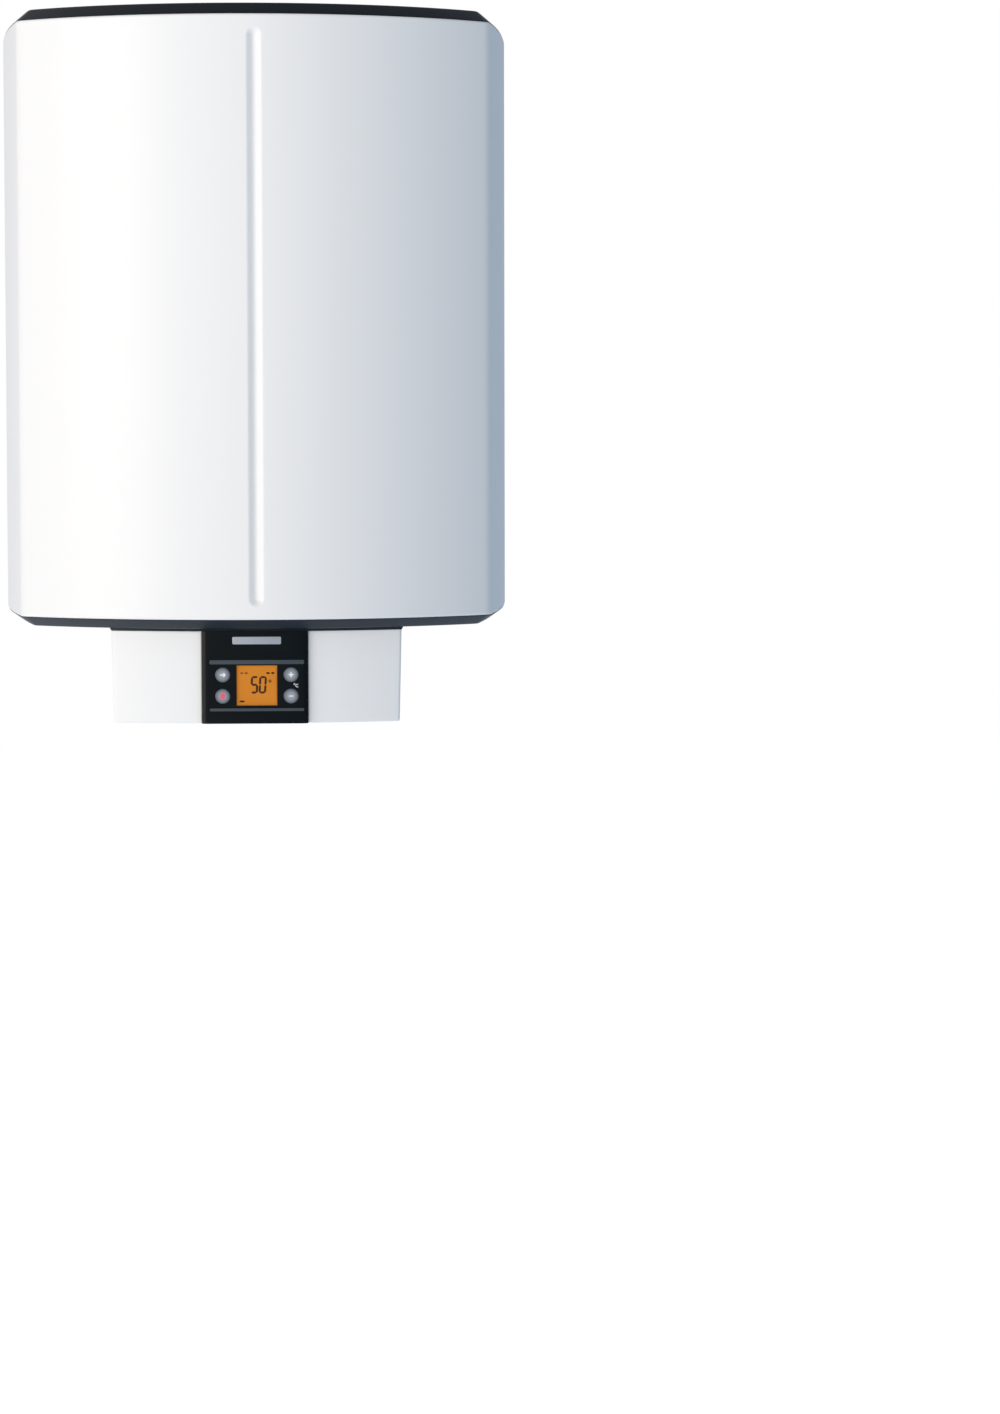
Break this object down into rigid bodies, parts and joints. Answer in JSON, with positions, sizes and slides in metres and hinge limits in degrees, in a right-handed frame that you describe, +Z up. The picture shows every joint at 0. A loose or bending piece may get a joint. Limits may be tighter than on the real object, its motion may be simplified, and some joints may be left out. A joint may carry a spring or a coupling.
{
  "type": "tank water heater",
  "caption": "Wall-hung electric storage water heater: D-shaped white casing with a front groove, dark lids, and a control box with a display and keys below.",
  "frame": {"origin": "on the wall plane, midway between the two hanging slots of the wall bracket", "axes": "+Z up, +Y into the wall, +X to the right of someone facing the heater; the front faces -Y"},
  "size_m": [0.51, 0.51, 0.6816],
  "materials": {
    "white_steel": "white enamel, satin gloss",
    "zinc_steel": "zinc plated, matt",
    "navy_plastic": "moulded, satin, near black with a blue cast",
    "white_plastic": "moulded, satin gloss",
    "black_gloss": "polished black",
    "slate_trim": "printed slate grey bars",
    "blank_metal": "brushed, blank",
    "clear_window": "clear acrylic",
    "amber_display": "backlit amber",
    "grey_key": "domed silver grey keys",
    "foam": "rigid polyurethane foam",
    "enamelled_tank": "glass enamelled steel, blue",
    "flange_steel": "turned steel",
    "sealing_rubber": "black sealing rubber",
    "copper": "copper sheathed elements",
    "brass": "plain brass",
    "stainless": "stainless tube",
    "magnesium": "cast magnesium, dull",
    "ivory_plastic": "ivory moulding",
    "blue_plastic": "blue moulding",
    "red_plastic": "red moulding",
    "green_board": "green circuit board",
    "dark_parts": "black moulding",
    "transformer": "taped winding",
    "ribbon": "grey flat cable",
    "lead_black": "insulated lead, black",
    "lead_brown": "insulated lead, brown",
    "lead_green": "insulated lead, green",
    "lead_white": "insulated lead, white",
    "grey_nylon": "grey nylon"
  },
  "bodies": {
    "heater": {"front_shell": "white_steel", "rear_panel": "zinc_steel", "seam_rivets": "zinc_steel", "top_lid": "navy_plastic", "bottom_lid": "navy_plastic", "foam_insulation": "foam", "inner_tank": "enamelled_tank", "flange_gasket": "sealing_rubber", "flange_plate": "flange_steel", "flange_screws": "zinc_steel", "heating_elements": "copper", "element_terminals": "brass", "thermowell": "stainless", "temperature_probe": "stainless", "limiter_bulb": "stainless", "anode_rod": "magnesium", "anode_plug": "magnesium", "cold_inlet_pipe": "stainless", "inlet_diffuser": "ivory_plastic", "hot_outlet_pipe": "stainless", "cold_collar": "blue_plastic", "hot_collar": "red_plastic", "wall_bracket": "zinc_steel", "wall_buffers": "sealing_rubber", "buffer_screws": "zinc_steel", "control_housing": "white_plastic", "housing_screws": "zinc_steel", "control_panel": "black_gloss", "panel_bars": "slate_trim", "blank_badge": "blank_metal", "display_window": "clear_window", "display_module": "amber_display", "display_board": "green_board", "tact_switches": "dark_parts", "main_board": "green_board", "board_standoffs": "ivory_plastic", "board_screws": "zinc_steel", "board_relays": "blue_plastic", "board_transformer": "transformer", "board_capacitors": "dark_parts", "board_connector": "green_board", "display_ribbon": "ribbon", "terminal_block": "ivory_plastic", "terminal_screws": "brass", "limiter_body": "dark_parts", "earth_stud": "zinc_steel", "element_leads": "lead_black", "earth_lead": "lead_green", "sensor_lead": "lead_white", "limiter_capillary": "stainless", "mains_lead": "lead_brown", "cable_gland": "grey_nylon", "gland_seal": "sealing_rubber", "gland_nut": "grey_nylon", "gland_lock_nut": "grey_nylon"},
    "menu_key": {"menu_button": "grey_key"},
    "boost_key": {"boost_button": "grey_key"},
    "plus_key": {"plus_button": "grey_key"},
    "minus_key": {"minus_button": "grey_key"},
    "reset_key": {"limiter_reset": "red_plastic"}
  },
  "joints": [
    {"name": "menu_press", "type": "slide", "parent": "heater", "child": "menu_key", "axis": [0, 1, 0], "range_m": [0, 0.001], "stiffness_N_per_m": 300, "springref_m": -0.001},
    {"name": "boost_press", "type": "slide", "parent": "heater", "child": "boost_key", "axis": [0, 1, 0], "range_m": [0, 0.001], "stiffness_N_per_m": 300, "springref_m": -0.001},
    {"name": "plus_press", "type": "slide", "parent": "heater", "child": "plus_key", "axis": [0, 1, 0], "range_m": [0, 0.001], "stiffness_N_per_m": 300, "springref_m": -0.001},
    {"name": "minus_press", "type": "slide", "parent": "heater", "child": "minus_key", "axis": [0, 1, 0], "range_m": [0, 0.001], "stiffness_N_per_m": 300, "springref_m": -0.001},
    {"name": "reset_press", "type": "slide", "parent": "heater", "child": "reset_key", "axis": [0, 1, 0], "range_m": [0, 0.002], "stiffness_N_per_m": 300, "springref_m": -0.002}
  ]
}
